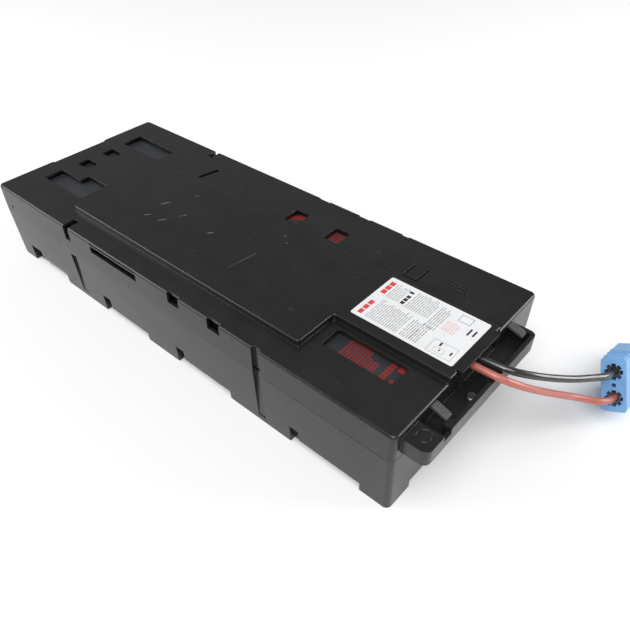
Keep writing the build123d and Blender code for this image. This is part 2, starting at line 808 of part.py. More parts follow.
def cord(name, route):
    """Insulated wire along straight runs joined by tangent arcs, and its arcs' radii."""
    points = [Vector(*point) for point in route]
    runs = [second - first for first, second in zip(points, points[1:])]
    radii = []
    for before, after in zip(runs, runs[1:]):
        turn = before.get_angle(after)
        shorter = min(before.length, after.length)
        radii.append(0.45 * shorter / tan(radians(turn) / 2))
    with BuildPart() as wire:
        with BuildLine() as path:
            FilletPolyline(*points, radius=radii)
        spine = path.wires()[0]
        with BuildSketch(Plane(origin=spine @ 0, z_dir=spine % 0)) as section:
            Circle(lead_diameter / 2)
        sweep(section.sketch, path=spine)
    save(wire.part, name)
    expected = section.sketch.area * spine.length
    print(name, "radii", [round(radius, 1) for radius in radii], "length", round(spine.length, 1))
    print(name, "volume", round(wire.part.volume, 1), "section times length", round(expected, 1))


# Where the wires start, at the floors of the crimp barrels
wire_z = battery_top - terminal_drop
wire_y = terminal_y - receptacle_width / 2 - barrel_floor
flag_x = receptacle_clearance + receptacle_length / 2
battery_1_wire_x = battery_2_x - terminal_gap + flag_x
battery_2_wire_x = battery_2_x - flag_x
battery_3_wire_x = battery_4_x - terminal_gap + flag_x
battery_4_wire_x = battery_4_x - flag_x

# Connector, which rests on a corner of its nose: its axis runs down towards the floor, and it leans over
pitch = radians(connector_pitch)
lean = radians(connector_roll)
connector_axis = Vector(0, cos(pitch), -sin(pitch))
connector_up = Vector(-sin(lean), cos(lean) * sin(pitch), cos(lean) * cos(pitch))
nose_drop = connector_length * sin(pitch)
half_height = (connector_width / 2 - front_step) * cos(lean) * cos(pitch)
half_side = connector_thickness / 2 * sin(lean) * cos(pitch)
rear_face = Vector(connector_x, connector_y, nose_drop + half_height + half_side)
low_pole = rear_face - connector_up * (pole_spacing / 2)
high_pole = rear_face + connector_up * (pole_spacing / 2)

# How far wires run straight on from a terminal, and how far before the connector their last bend is
straight_reach = 17.0
entry_reach = 11.0

# Short jumpers across the two terminal gaps
for name, start_x, end_x in (
    ("link_1_2", battery_1_wire_x, battery_2_wire_x),
    ("link_3_4", battery_3_wire_x, battery_4_wire_x),
):
    cord(
        name,
        [
            (start_x, -wire_y, wire_z),
            (start_x, -wire_y + link_reach, wire_z),
            (end_x, -wire_y + link_reach, wire_z),
            (end_x, -wire_y, wire_z),
        ],
    )

# Height of a wire that is half way up from the terminals to the tops of the batteries
climb_z = (wire_z + over_battery_z) / 2

# Long jumper under the plateau from the second battery to the third
cord(
    "link_2_3",
    [
        (battery_2_wire_x, wire_y, wire_z),
        (battery_2_wire_x, wire_y - straight_reach, wire_z),
        (battery_2_wire_x + 0.6, wire_y - 31, climb_z - 0.5),
        (battery_2_wire_x + 5.6, wire_y - 42, over_battery_z),
        (battery_2_x + 18, 10, over_battery_z + 0.2),
        (battery_2_x + 49, 8.5, over_battery_z),
        (battery_3_x + 7.5, 12, over_battery_z + 0.1),
        (battery_3_x + 51.5, 10, over_battery_z),
        (battery_3_x + 77.5, 11, over_battery_z + 0.2),
        (battery_3_wire_x - 5.2, wire_y - 41, over_battery_z),
        (battery_3_wire_x - 0.6, wire_y - 30, climb_z - 1),
        (battery_3_wire_x, wire_y - straight_reach, wire_z),
        (battery_3_wire_x, wire_y, wire_z),
    ],
)

# Positive lead from the first battery, under the plateau and out to the connector
cord(
    "lead_positive",
    [
        (battery_1_wire_x, wire_y, wire_z),
        (battery_1_wire_x, wire_y - straight_reach, wire_z),
        (first_gap_x - 6, wire_y - 2 * straight_reach, climb_z - 3),
        (first_gap_x - 1, wire_y - 3 * straight_reach, climb_z + 4),
        (battery_2_x + 4, -6, over_battery_z),
        (battery_2_x + 30, -12, over_battery_z),
        (battery_2_x + 78, -11, over_battery_z),
        (battery_3_x + 38, -13, over_battery_z),
        (last_gap_x - 6, -10, over_battery_z),
        (battery_4_x + 34, -7, over_battery_z),
        (front_x - 12, -4.4, over_battery_z),
        (shelf_x + 0.8, -4, over_battery_z + 0.4),
        (235.5, 5, 64.5),
        (244, 19, 54),
        (253.5, 36.5, 42.5),
        (263, 52, 33),
        tuple(low_pole - connector_axis * entry_reach),
        tuple(low_pole + connector_axis * lead_depth),
    ],
)

# Negative lead from the fourth battery
cord(
    "lead_negative",
    [
        (battery_4_wire_x, wire_y, wire_z),
        (battery_4_wire_x, wire_y - straight_reach, wire_z),
        (battery_4_wire_x + 0.6, wire_y - 32, climb_z - 1.5),
        (battery_4_wire_x + 4.6, wire_y - 45, over_battery_z),
        (battery_4_x + 15, 5.5, over_battery_z + 0.2),
        (battery_4_x + 44, 2.5, over_battery_z),
        (front_x - 12, 3.4, over_battery_z),
        (shelf_x + 1.2, 5, over_battery_z + 0.4),
        (238, 15, 67),
        (248, 29, 60),
        (258, 44.5, 53.5),
        (266, 59, 49),
        tuple(high_pole - connector_axis * entry_reach),
        tuple(high_pole + connector_axis * lead_depth),
    ],
)

# Plane at the connector's rear face, square to its mating direction
rear_plane = Plane(origin=rear_face, x_dir=connector_up, z_dir=connector_axis)

# Housing of the connector
with BuildPart() as housing:
    with BuildSketch(rear_plane):
        Rectangle(connector_width, connector_thickness)
    extrude(amount=connector_length)
    fillet(housing.edges().filter_by(Axis(rear_face, connector_axis)), connector_edge)
    # Saw-tooth grips across both narrow sides
    side_plane = Plane(origin=rear_face, x_dir=connector_axis, z_dir=rear_plane.y_dir)
    with BuildSketch(side_plane.offset(-connector_thickness / 2 + connector_edge)):
        for number in range(grip_count):
            grip_start = connector_edge + number * grip_pitch
            for side in (-1, 1):
                with BuildLine():
                    Polyline(
                        (grip_start, side * (connector_width / 2 - connector_edge)),
                        (grip_start, side * connector_width / 2),
                        (grip_start + connector_edge, side * (connector_width / 2 + grip_height)),
                        (grip_start + grip_pitch, side * connector_width / 2),
                        (grip_start + grip_pitch, side * (connector_width / 2 - connector_edge)),
                        close=True,
                    )
                make_face()
    extrude(amount=connector_thickness - 2 * connector_edge)
    # Narrower front part
    with BuildSketch(rear_plane.offset(connector_length - front_step_length)):
        with GridLocations(connector_width, 0, 2, 1):
            Rectangle(2 * front_step, connector_thickness)
    extrude(amount=front_step_length, mode=Mode.SUBTRACT)
    # Mouths for the mating contacts, and cavities for the crimped barrels
    with BuildSketch(rear_plane.offset(connector_length - mouth_length)):
        with GridLocations(pole_spacing, 0, 2, 1):
            Rectangle(mouth_width, mouth_height)
    extrude(amount=mouth_length, mode=Mode.SUBTRACT)
    with BuildSketch(rear_plane):
        with GridLocations(pole_spacing, 0, 2, 1):
            Circle(contact_radius + cavity_clearance)
    extrude(amount=connector_length - mouth_length, mode=Mode.SUBTRACT)
    with BuildSketch(rear_plane):
        with GridLocations(pole_spacing, 0, 2, 1):
            for turn in (0, 45, 90, 135):
                Rectangle(cavity_arm_length, cavity_arm_width, rotation=turn)
    extrude(amount=cavity_arm_depth, mode=Mode.SUBTRACT)
    # Hole between the two poles
    with BuildSketch(rear_plane):
        Circle(middle_hole_radius)
    extrude(amount=middle_hole_depth, mode=Mode.SUBTRACT)
save(housing.part, "connector_housing")


def contact(name, pole):
    """Crimp contact; pole is -1 for the lower cavity and 1 for the upper one."""
    centre = rear_face + connector_up * (pole * pole_spacing / 2)
    plane = Plane(origin=centre, x_dir=connector_up, z_dir=connector_axis)
    with BuildPart() as crimp:
        with BuildSketch(plane.offset(contact_inset)):
            Circle(contact_radius)
        extrude(amount=contact_barrel)
        with BuildSketch(plane.offset(contact_inset)):
            Circle(lead_diameter / 2 + lead_clearance)
        extrude(amount=lead_depth - contact_inset, mode=Mode.SUBTRACT)
        # Flat tongue towards the mouth
        with BuildSketch(plane.offset(contact_inset + contact_barrel)):
            with Locations((0, -tongue_offset)):
                Rectangle(tongue_width, tongue_thickness)
        extrude(amount=tongue_length)
    save(crimp.part, name)


def spring(name, pole):
    """Leaf spring that lifts the tongue off the wall of its mouth."""
    centre = rear_face + connector_up * (pole * pole_spacing / 2)
    leaf_plane = Plane(origin=centre, x_dir=connector_axis, z_dir=connector_up)
    across = leaf_plane.y_dir.dot(rear_plane.y_dir)
    start = connector_length - mouth_length
    wall_y = -across * (mouth_height / 2 - spring_thickness / 2)
    touch_y = -across * (tongue_offset + tongue_thickness / 2 + spring_thickness / 2)
    with BuildPart() as leaf:
        with BuildSketch(leaf_plane.offset(-spring_width / 2)):
            with BuildLine():
                Polyline(
                    (start, wall_y),
                    (start + tongue_length / 4, wall_y),
                    (start + tongue_length / 2, touch_y),
                    (start + 0.6 * tongue_length, touch_y),
                )
            trace(line_width=spring_thickness)
        extrude(amount=spring_width)
    save(leaf.part, name)


contact("contact_positive", -1)
contact("contact_negative", 1)
spring("spring_positive", -1)
spring("spring_negative", 1)
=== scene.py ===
from math import cos, radians, sin
from random import Random

import bmesh
import bpy
from mathutils import Matrix, Vector


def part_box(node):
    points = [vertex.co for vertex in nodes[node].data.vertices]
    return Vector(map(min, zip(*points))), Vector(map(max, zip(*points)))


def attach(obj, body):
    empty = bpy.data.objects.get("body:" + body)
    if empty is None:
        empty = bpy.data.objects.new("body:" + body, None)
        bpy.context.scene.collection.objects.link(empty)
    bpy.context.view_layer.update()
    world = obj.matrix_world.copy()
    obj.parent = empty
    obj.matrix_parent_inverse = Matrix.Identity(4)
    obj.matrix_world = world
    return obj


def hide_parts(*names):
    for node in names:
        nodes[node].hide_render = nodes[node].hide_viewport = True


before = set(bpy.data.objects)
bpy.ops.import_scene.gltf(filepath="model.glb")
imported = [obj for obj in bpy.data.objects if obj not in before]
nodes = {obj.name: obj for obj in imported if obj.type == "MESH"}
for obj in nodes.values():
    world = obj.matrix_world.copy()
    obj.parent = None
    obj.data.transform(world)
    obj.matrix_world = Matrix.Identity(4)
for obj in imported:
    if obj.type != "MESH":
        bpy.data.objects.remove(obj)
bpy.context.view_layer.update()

MM = 0.001

# Sizes in millimetres of the leads and of the case's small details
LEAD_DIAMETER = 5.0
CONTACT_OFFSET = 9.35
BEHIND_CONNECTOR = -11
INSIDE_CONNECTOR = 8
PRINT_HEIGHT = 0.03
MARK_HEIGHT = 0.4
BATTERY_TOP = 68.0
DECK_TOP = 73.2
PLATEAU_TOP = 78.2
SCUFF_REACH = 0.6


# Camera

def make_camera():
    """Camera at the photograph's angle, with its framing from a lens and a small shift."""
    right = Vector((0.74396, 0.66798, -0.01832))
    up = Vector((-0.44349, 0.51407, 0.73420))
    forward = Vector((-0.49984, 0.53809, -0.67869))
    place = Vector((0.31329, -0.27475, 0.35258))
    data = bpy.data.cameras.new("photo_camera")
    data.sensor_width = 36
    data.lens = 35.913
    data.shift_x = 0.0267
    data.shift_y = 0.0254
    data.clip_start = 0.01
    camera = bpy.data.objects.new("photo_camera", data)
    turn = Matrix((right, up, -forward)).transposed()
    camera.matrix_world = Matrix.Translation(place) @ turn.to_4x4()
    bpy.context.scene.collection.objects.link(camera)
    bpy.context.scene.camera = camera


make_camera()


# Leads

def connector_point(height, along):
    """Point on one of the connector's two axes, in millimetres, along its mating direction."""
    pitch = radians(20)
    lean = radians(24)
    axis = Vector((0, cos(pitch), -sin(pitch)))
    up = Vector((-sin(lean), cos(lean) * sin(pitch), cos(lean) * cos(pitch)))
    rear_face = Vector((275.9, 76.5, 34.04))
    return tuple(rear_face + up * height + axis * along)


POSITIVE_ROUTE = [
    (-120.85, 58.1, 58),
    (-120.85, 41.1, 58),
    (-120.25, 24.1, 61.5),
    (-115.25, 7.1, 68.5),
    (-100, -6, 71),
    (-74, -12, 71),
    (-26, -11, 71),
    (30.5, -13, 71),
    (90.75, -10, 71),
    (141, -7, 71),
    (195.25, -4.4, 71),
    (225.55, -4, 71.4),
    (235.5, 5, 64.5),
    (244, 19, 54),
    (253.5, 36.5, 42.5),
    (263, 52, 33),
    connector_point(-CONTACT_OFFSET, BEHIND_CONNECTOR),
    connector_point(-CONTACT_OFFSET, INSIDE_CONNECTOR),
]

NEGATIVE_ROUTE = [
    (103.35, 58.1, 58),
    (103.35, 41.1, 58),
    (103.95, 26.1, 63),
    (107.95, 13.1, 71),
    (122, 5.5, 71.2),
    (151, 2.5, 71),
    (195.25, 3.4, 71),
    (225.95, 5, 71.4),
    (238, 15, 67),
    (248, 29, 60),
    (258, 44.5, 53.5),
    (266, 59, 49),
    connector_point(CONTACT_OFFSET, BEHIND_CONNECTOR),
    connector_point(CONTACT_OFFSET, INSIDE_CONNECTOR),
]


def make_lead(name, route):
    """Lead along a smooth line through its route."""
    curve = bpy.data.curves.new(name, "CURVE")
    curve.dimensions = "3D"
    spline = curve.splines.new("NURBS")
    spline.points.add(len(route) - 1)
    for point, place in zip(spline.points, route):
        point.co = (place[0] * MM, place[1] * MM, place[2] * MM, 1)
        point.radius = LEAD_DIAMETER / 2 * MM
    spline.order_u = 3
    spline.use_endpoint_u = True
    spline.resolution_u = 10
    # The points' radius gives the thickness, so that the curve's bounds are true
    curve.bevel_depth = 1
    curve.bevel_resolution = 7
    curve.use_fill_caps = True
    lead = bpy.data.objects.new(name, curve)
    bpy.context.scene.collection.objects.link(lead)
    return lead


def add_lead(name, node, route):
    """Lead that stands for its plain tube in the frame."""
    lead = make_lead(name, route)
    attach(lead, "root")
    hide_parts(node)
    return lead


red_lead = add_lead(
    "red_lead",
    "lead_positive",
    POSITIVE_ROUTE,
)
black_lead = add_lead(
    "black_lead",
    "lead_negative",
    NEGATIVE_ROUTE,
)


# Steps that every finish is built from

def feed(tree, value, socket):
    """Links a socket to an input, or sets the input to a plain value."""
    if isinstance(value, bpy.types.NodeSocket):
        tree.links.new(value, socket)
    elif socket.type == "RGBA" and len(value) == 3:
        socket.default_value = (*value, 1)
    else:
        socket.default_value = value


def add(tree, kind, inputs=None, **options):
    """Node of one kind with its options and named inputs."""
    node = tree.nodes.new("ShaderNode" + kind)
    for name, value in options.items():
        setattr(node, name, value)
    for name, value in (inputs or {}).items():
        feed(tree, value, node.inputs[name])
    return node


def calc(tree, operation, *values, clamp=False):
    """One step of arithmetic."""
    node = add(tree, "Math", operation=operation, use_clamp=clamp)
    for value, socket in zip(values, node.inputs):
        feed(tree, value, socket)
    return node.outputs["Value"]


def remap(tree, value, low, high, to_low=0.0, to_high=1.0):
    """Value moved from one range to another and held inside it."""
    node = add(tree, "MapRange", {
        "Value": value, "From Min": low, "From Max": high, "To Min": to_low, "To Max": to_high,
    })
    return node.outputs["Result"]


# Places of the colour sockets on a Mix node, where names repeat for each kind of value
MIX_SHARE, MIX_FIRST, MIX_SECOND, MIX_RESULT = 0, 6, 7, 2


def tint(tree, share, first, second):
    """Colour between two colours."""
    node = add(tree, "Mix", data_type="RGBA")
    feed(tree, share, node.inputs[MIX_SHARE])
    feed(tree, first, node.inputs[MIX_FIRST])
    feed(tree, second, node.inputs[MIX_SECOND])
    return node.outputs[MIX_RESULT]


def here(tree):
    """Place on the piece."""
    return add(tree, "TexCoord").outputs["Object"]


def moved(tree, place, shift=(0, 0, 0), turn=(0, 0, 0), scale=(1, 1, 1), kind="POINT"):
    """Place after a shift, turn and stretch."""
    node = add(tree, "Mapping", {
        "Vector": place, "Location": shift, "Rotation": turn, "Scale": scale,
    }, vector_type=kind)
    return node.outputs["Vector"]


def noise(tree, place, scale, detail=2.0, roughness=0.5, distortion=0.0):
    """Soft random value."""
    node = add(tree, "TexNoise", {
        "Vector": place, "Scale": scale, "Detail": detail,
        "Roughness": roughness, "Distortion": distortion,
    })
    return node.outputs["Fac"]


def new_group(name, inputs, outputs):
    """Empty node group with named inputs and outputs."""
    group = bpy.data.node_groups.new(name, "ShaderNodeTree")
    for label, value in inputs.items():
        socket = group.interface.new_socket(label, in_out="INPUT", socket_type="NodeSocketFloat")
        socket.default_value = value
    for label, kind in outputs.items():
        group.interface.new_socket(label, in_out="OUTPUT", socket_type="NodeSocket" + kind)
    given = group.nodes.new("NodeGroupInput").outputs
    result = group.nodes.new("NodeGroupOutput").inputs
    return group, given, result


def use_group(tree, group, **inputs):
    """Places a group in a material with that material's own values."""
    node = tree.nodes.new("ShaderNodeGroup")
    node.node_tree = group
    for name, value in inputs.items():
        feed(tree, value, node.inputs[name.replace("_", " ").title()])
    return node.outputs


# Effects that several finishes share

def make_moulded_grain():
    """Fine spark-eroded grain of a mould and the slow changes of tone in what it casts."""
    tree, given, result = new_group(
        "moulded_grain",
        {"Grain Size": 0.0005, "Flow Size": 0.03},
        {"Height": "Float", "Tone": "Float", "Sink": "Float"},
    )
    place = here(tree)
    fine = noise(tree, place, calc(tree, "DIVIDE", 1.0, given["Grain Size"]), detail=2)
    cells = add(tree, "TexVoronoi", {
        "Vector": place, "Scale": calc(tree, "DIVIDE", 0.6, given["Grain Size"]),
    }, feature="SMOOTH_F1")
    height = calc(tree, "MULTIPLY_ADD", cells.outputs["Distance"], 0.5, fine)
    feed(tree, height, result["Height"])
    flow = calc(tree, "DIVIDE", 1.0, given["Flow Size"])
    along = moved(tree, place, scale=(0.5, 1, 1))
    streak = noise(tree, along, flow, detail=4, roughness=0.55, distortion=0.4)
    feed(tree, remap(tree, streak, 0.3, 0.7), result["Tone"])
    feed(tree, noise(tree, moved(tree, place, shift=(3, 1, 2)), flow, detail=1), result["Sink"])
    return tree


def make_rubbed_edges():
    """Soft round along edges that are sharp in the mesh, and where they are rubbed paler."""
    tree, given, result = new_group(
        "rubbed_edges",
        {"Round": 0.0006, "Patch Size": 0.012},
        {"Normal": "Vector", "Wear": "Float"},
    )
    rounded = add(tree, "Bevel", {"Radius": given["Round"]}, samples=10)
    feed(tree, rounded.outputs["Normal"], result["Normal"])
    straight = add(tree, "NewGeometry").outputs["Normal"]
    lean = add(tree, "VectorMath", operation="DOT_PRODUCT")
    feed(tree, rounded.outputs["Normal"], lean.inputs[0])
    feed(tree, straight, lean.inputs[1])
    edge = remap(tree, lean.outputs["Value"], 0.995, 0.86)
    place = here(tree)
    spread = calc(tree, "DIVIDE", 1.0, given["Patch Size"])
    patches = noise(tree, place, spread, detail=5, roughness=0.65)
    feed(tree, calc(tree, "MULTIPLY", edge, remap(tree, patches, 0.38, 0.7)), result["Wear"])
    return tree


def make_settled_dust():
    """Dust that lies on faces that look up, in a thin veil and in single specks."""
    tree, given, result = new_group("settled_dust", {"Amount": 0.5}, {"Dust": "Float"})
    place = here(tree)
    straight = add(tree, "NewGeometry").outputs["Normal"]
    facing = add(tree, "SeparateXYZ", {"Vector": straight}).outputs["Z"]
    level = remap(tree, facing, 0.35, 0.95)
    veil = remap(tree, noise(tree, place, 38.0, detail=6, roughness=0.7), 0.42, 0.75, 0.0, 0.35)
    cells = add(tree, "TexVoronoi", {"Vector": place, "Scale": 520.0, "Randomness": 1.0})
    speck = remap(tree, cells.outputs["Distance"], 0.16, 0.05)
    pick = add(tree, "SeparateColor", {"Color": cells.outputs["Color"]}).outputs["Red"]
    few = remap(tree, pick, 0.93, 0.95)
    specks = calc(tree, "MULTIPLY", speck, few)
    both = calc(tree, "MAXIMUM", veil, specks)
    lying = calc(tree, "MULTIPLY", both, level)
    feed(tree, calc(tree, "MULTIPLY", lying, given["Amount"]), result["Dust"])
    return tree


# Direction of each set of scratches, in degrees, and where its pattern starts
SCRATCH_SETS = ((24, 0.0), (78, 0.37), (-41, 0.71))


def make_hairline_scratches():
    """Short fine scratches in three directions."""
    tree, given, result = new_group(
        "hairline_scratches",
        {"Length": 0.05, "Share": 0.3},
        {"Scratch": "Float"},
    )
    place = here(tree)
    bend = add(tree, "TexNoise", {"Vector": place, "Scale": 30.0, "Detail": 1.0}).outputs["Color"]
    wobble = add(tree, "VectorMath", operation="SCALE")
    feed(tree, bend, wobble.inputs[0])
    wobble.inputs["Scale"].default_value = 0.004
    bent = add(tree, "VectorMath", operation="ADD")
    feed(tree, place, bent.inputs[0])
    feed(tree, wobble.outputs[0], bent.inputs[1])
    size = calc(tree, "DIVIDE", 1.0, given["Length"])
    limit = calc(tree, "SUBTRACT", 1.0, given["Share"])
    marks = 0.0
    for turn, start in SCRATCH_SETS:
        along = moved(
            tree, bent.outputs[0], shift=(start, start, start), turn=(0, radians(turn / 3), radians(turn)),
        )
        cells = add(tree, "TexVoronoi", {
            "Vector": moved(tree, along, scale=(1, 26, 26)), "Scale": size, "Randomness": 1.0,
        })
        line = remap(tree, cells.outputs["Distance"], 0.17, 0.03)
        pick = add(tree, "SeparateColor", {"Color": cells.outputs["Color"]}).outputs["Green"]
        chosen = calc(tree, "GREATER_THAN", pick, limit)
        marks = calc(tree, "MAXIMUM", marks, calc(tree, "MULTIPLY", line, chosen))
    broken = remap(tree, noise(tree, place, 420.0, detail=2), 0.34, 0.6)
    feed(tree, calc(tree, "MULTIPLY", marks, broken), result["Scratch"])
    return tree


moulded_grain = make_moulded_grain()
rubbed_edges = make_rubbed_edges()
settled_dust = make_settled_dust()
hairline_scratches = make_hairline_scratches()


# Finishes

def new_finish(name):
    """Empty material and its shader."""
    material = bpy.data.materials.new(name)
    material.use_nodes = True
    return material, material.node_tree, material.node_tree.nodes["Principled BSDF"]


def raise_surface(tree, shader, height, depth, normal=None):
    """Bump from a height between 0 and 1, in metres of depth."""
    bump = add(tree, "Bump", {"Strength": 1.0, "Distance": depth, "Height": height})
    if normal is not None:
        feed(tree, normal, bump.inputs["Normal"])
    feed(tree, bump.outputs["Normal"], shader.inputs["Normal"])
    return bump.outputs["Normal"]


# Scuffs in millimetres on the plateau, each from one end to the other, with its width
SCUFFS = [
    ((-79.6, -17.7), (-73.9, -7.4), 0.9),
    ((-76.3, -36.3), (-72.0, -30.1), 0.8),
    ((-61.6, -35.0), (-56.7, -26.6), 0.9),
    ((-53.0, -19.3), (-48.1, -10.7), 0.7),
    ((26.9, -43.5), (31.4, -8.9), 0.35),
    ((-66.5, 10.0), (-63.4, 14.6), 0.8),
    ((-17.6, -20.8), (-13.4, -15.2), 1.1),
    ((30.8, 15.2), (32.6, 17.6), 0.6),
    ((38.2, 9.4), (39.9, 11.4), 0.6),
]


def scuff_marks(tree):
    """Pale rubbed marks on the plateau, where the cartridge has been handled."""
    place = here(tree)
    marks = 0.0
    for (x0, y0), (x1, y1), width in SCUFFS:
        run = Vector((x1 - x0, y1 - y0)) * MM
        centre = Vector((x0 + x1, y0 + y1, 2 * PLATEAU_TOP)) * MM / 2
        turn = Vector((1, 0)).angle_signed(run)
        spot = moved(
            tree, place, shift=centre, turn=(0, 0, -turn), kind="TEXTURE",
            scale=(run.length / 2, width * MM / 2, SCUFF_REACH * MM),
        )
        blob = add(tree, "TexGradient", {"Vector": spot}, gradient_type="SPHERICAL").outputs["Fac"]
        marks = calc(tree, "MAXIMUM", marks, blob)
    broken = noise(tree, moved(tree, place, scale=(1, 0.4, 1)), 700.0, detail=3, roughness=0.7)
    return calc(tree, "MULTIPLY", remap(tree, marks, 0.02, 0.4), remap(tree, broken, 0.36, 0.52))


def make_case_plastic():
    """Satin black moulding with a fine grain, faint flow marks, scratches and rubbed edges."""
    material, tree, shader = new_finish("case_plastic")
    grain = use_group(tree, moulded_grain, grain_size=0.00045, flow_size=0.05)
    edges = use_group(tree, rubbed_edges, round=0.0007, patch_size=0.016)
    dust = use_group(tree, settled_dust, amount=0.5)["Dust"]
    scratch = use_group(tree, hairline_scratches, length=0.06, share=0.16)["Scratch"]
    scuffs = scuff_marks(tree)
    colour = tint(tree, grain["Tone"], (0.0082, 0.009, 0.0084), (0.0118, 0.0127, 0.0118))
    colour = tint(tree, calc(tree, "MULTIPLY", edges["Wear"], 0.3), colour, (0.05, 0.05, 0.048))
    colour = tint(tree, calc(tree, "MULTIPLY", scratch, 0.22), colour, (0.2, 0.2, 0.2))
    colour = tint(tree, calc(tree, "MULTIPLY", scuffs, 0.75), colour, (0.3, 0.3, 0.3))
    colour = tint(tree, calc(tree, "MULTIPLY", dust, 0.08), colour, (0.33, 0.31, 0.28))
    feed(tree, colour, shader.inputs["Base Color"])
    rough = remap(tree, grain["Tone"], 0.0, 1.0, 0.24, 0.32)
    rough = calc(tree, "MULTIPLY_ADD", edges["Wear"], -0.08, rough)
    rough = calc(tree, "MULTIPLY_ADD", calc(tree, "MAXIMUM", scratch, scuffs), 0.2, rough)
    rough = calc(tree, "MULTIPLY_ADD", dust, 0.3, rough, clamp=True)
    feed(tree, rough, shader.inputs["Roughness"])
    shader.inputs["IOR"].default_value = 1.5
    skin = raise_surface(tree, shader, grain["Height"], 0.000008, edges["Normal"])
    waves = raise_surface(tree, shader, grain["Sink"], 0.0004, skin)
    raise_surface(tree, shader, calc(tree, "SUBTRACT", 1.0, scratch), 0.00002, waves)
    return material


def make_battery_plastic():
    """Dark slate battery jar with a matt moulded face."""
    material, tree, shader = new_finish("battery_plastic")
    grain = use_group(tree, moulded_grain, grain_size=0.0007, flow_size=0.02)
    edges = use_group(tree, rubbed_edges, round=0.0005, patch_size=0.01)
    dust = use_group(tree, settled_dust, amount=0.6)["Dust"]
    colour = tint(tree, grain["Tone"], (0.02, 0.022, 0.028), (0.028, 0.031, 0.039))
    colour = tint(tree, calc(tree, "MULTIPLY", edges["Wear"], 0.5), colour, (0.13, 0.14, 0.15))
    colour = tint(tree, calc(tree, "MULTIPLY", dust, 0.3), colour, (0.3, 0.29, 0.27))
    feed(tree, colour, shader.inputs["Base Color"])
    feed(tree, remap(tree, grain["Tone"], 0.0, 1.0, 0.42, 0.52), shader.inputs["Roughness"])
    raise_surface(tree, shader, grain["Height"], 0.00003, edges["Normal"])
    return material


def make_latch_grey():
    """Dry grey nylon of the latch tabs."""
    material, tree, shader = new_finish("latch_grey")
    grain = use_group(tree, moulded_grain, grain_size=0.0003, flow_size=0.006)
    edges = use_group(tree, rubbed_edges, round=0.0003, patch_size=0.004)
    dust = use_group(tree, settled_dust, amount=0.8)["Dust"]
    colour = tint(tree, grain["Tone"], (0.062, 0.063, 0.064), (0.088, 0.089, 0.09))
    colour = tint(tree, calc(tree, "MULTIPLY", edges["Wear"], 0.6), colour, (0.24, 0.24, 0.24))
    colour = tint(tree, calc(tree, "MULTIPLY", dust, 0.25), colour, (0.1, 0.095, 0.09))
    feed(tree, colour, shader.inputs["Base Color"])
    feed(tree, remap(tree, grain["Tone"], 0.0, 1.0, 0.42, 0.55), shader.inputs["Roughness"])
    raise_surface(tree, shader, grain["Height"], 0.00002, edges["Normal"])
    return material


def make_metal(name, dark, light, rough, streak_scale):
    """Drawn or turned metal with fine streaks, dull spots and brighter edges."""
    material, tree, shader = new_finish(name)
    place = here(tree)
    edges = use_group(tree, rubbed_edges, round=0.00015, patch_size=0.003)
    streaks = noise(tree, moved(tree, place, scale=streak_scale), 2600.0, detail=3, roughness=0.6)
    spots = noise(tree, place, 340.0, detail=4, roughness=0.65)
    colour = tint(tree, remap(tree, streaks, 0.3, 0.7), dark, light)
    dull = tuple(value * 0.55 for value in dark)
    colour = tint(tree, remap(tree, spots, 0.52, 0.72, 0.0, 0.55), colour, dull)
    colour = tint(tree, calc(tree, "MULTIPLY", edges["Wear"], 0.6), colour, (0.8, 0.8, 0.78))
    feed(tree, colour, shader.inputs["Base Color"])
    shader.inputs["Metallic"].default_value = 1.0
    feed(tree, remap(tree, spots, 0.3, 0.7, rough, rough + 0.16), shader.inputs["Roughness"])
    raise_surface(tree, shader, streaks, 0.000006, edges["Normal"])
    return material


def make_label_film():
    """White coated film with faint fibre and a little soiling."""
    material, tree, shader = new_finish("label_film")
    place = here(tree)
    fibre = noise(tree, moved(tree, place, scale=(1, 0.3, 1)), 2200.0, detail=3, roughness=0.6)
    soil = noise(tree, place, 45.0, detail=5, roughness=0.6)
    colour = tint(tree, remap(tree, fibre, 0.3, 0.7), (0.7, 0.71, 0.725), (0.77, 0.78, 0.79))
    colour = tint(tree, remap(tree, soil, 0.5, 0.8, 0.0, 0.25), colour, (0.52, 0.51, 0.48))
    feed(tree, colour, shader.inputs["Base Color"])
    feed(tree, remap(tree, fibre, 0.3, 0.7, 0.36, 0.46), shader.inputs["Roughness"])
    shader.inputs["Specular IOR Level"].default_value = 0.45
    ripple = noise(tree, moved(tree, place, shift=(2, 2, 2)), 60.0, detail=2)
    soft = raise_surface(tree, shader, ripple, 0.0001)
    raise_surface(tree, shader, fibre, 0.000004, soft)
    return material


def make_ink(name, colour, paper, cover=0.9):
    """Printed ink that covers its ground unevenly."""
    material, tree, shader = new_finish(name)
    place = here(tree)
    screen = noise(tree, place, 3400.0, detail=2)
    patch = noise(tree, place, 160.0, detail=3)
    worn = remap(tree, patch, 0.3, 0.75, 0.1, 1.0)
    missing = calc(tree, "MULTIPLY", remap(tree, screen, 0.35, 0.7), worn)
    thin = calc(tree, "MULTIPLY", missing, 1.0 - cover)
    feed(tree, tint(tree, thin, colour, paper), shader.inputs["Base Color"])
    feed(tree, remap(tree, screen, 0.3, 0.7, 0.38, 0.55), shader.inputs["Roughness"])
    raise_surface(tree, shader, screen, 0.000004)
    return material


